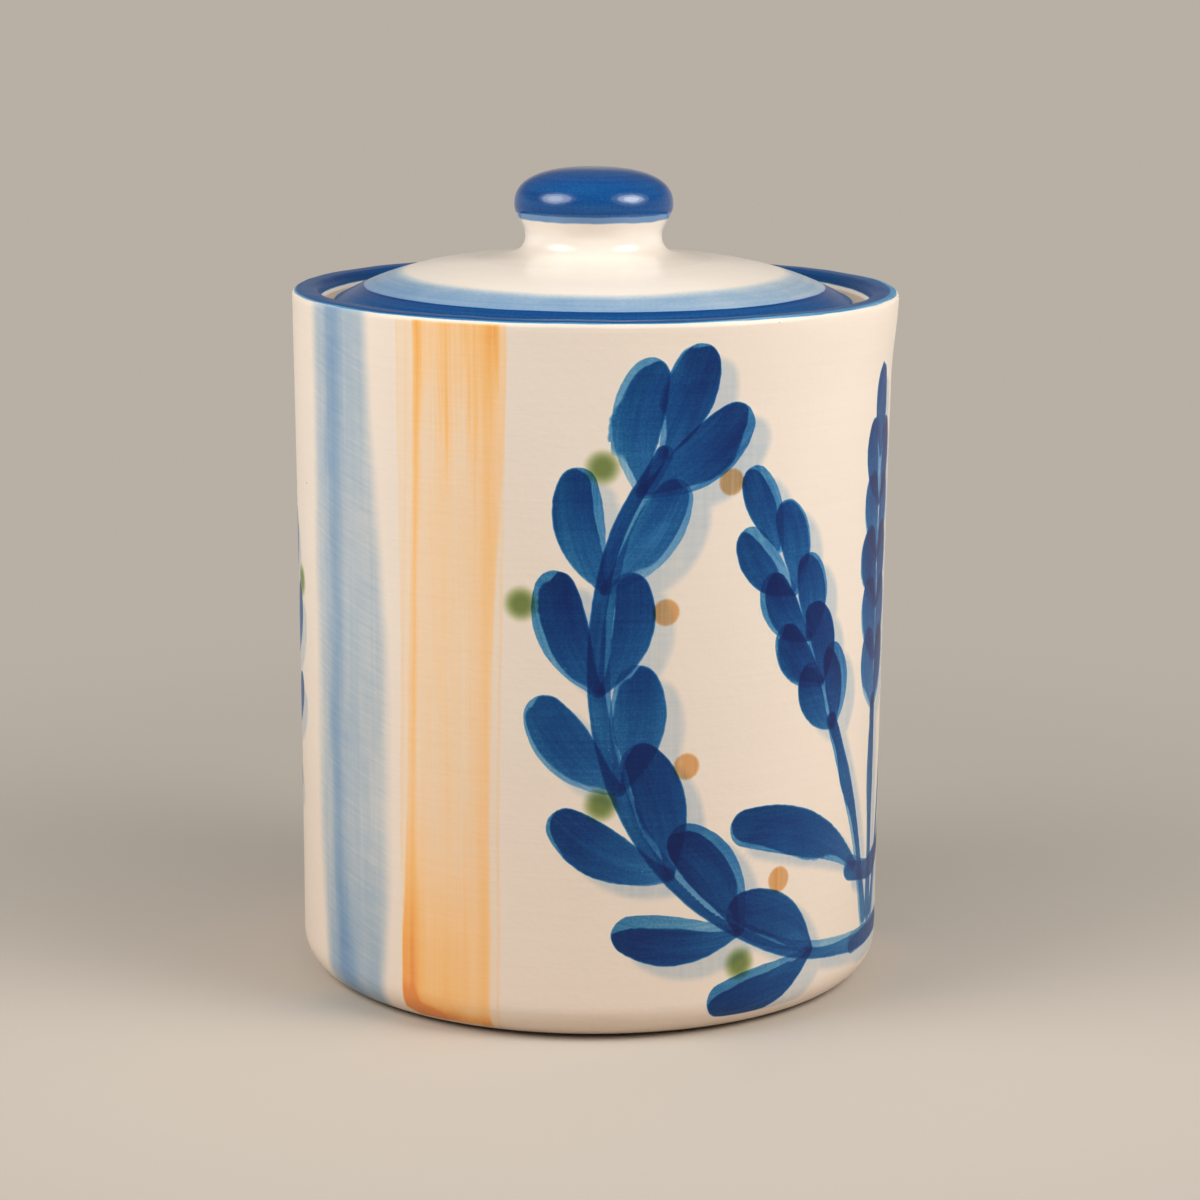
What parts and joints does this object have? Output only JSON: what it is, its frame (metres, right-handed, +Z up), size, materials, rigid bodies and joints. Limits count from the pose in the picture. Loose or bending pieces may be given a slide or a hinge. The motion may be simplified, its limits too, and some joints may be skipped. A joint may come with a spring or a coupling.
{
  "type": "flour canister",
  "caption": "Round glazed stoneware jar for flour, with a domed lid that sits on a ledge inside the rim and lifts off by a mushroom knob.",
  "frame": {"origin": "middle of the foot ring, on the surface the jar stands on", "axes": "+Z up along the axis that every piece is turned about; the decorated front faces -Y"},
  "size_m": [0.18, 0.18, 0.2437],
  "materials": {
    "jar_glaze": "satin cream glaze over brushed cobalt, pale blue and ochre stripes; bare foot ring",
    "lid_glaze": "cream glaze with a pale blue ring and a cobalt ring at the edge",
    "knob_glaze": "glossy cobalt glaze on the crown over a cream neck"
  },
  "bodies": {
    "jar": {"jar": "jar_glaze"},
    "lid": {"lid": "lid_glaze", "knob": "knob_glaze"}
  },
  "joints": [
    {"name": "lid_lift", "type": "slide", "parent": "jar", "child": "lid", "axis": [0, 0, 1], "range_m": [0, 0.12]}
  ]
}
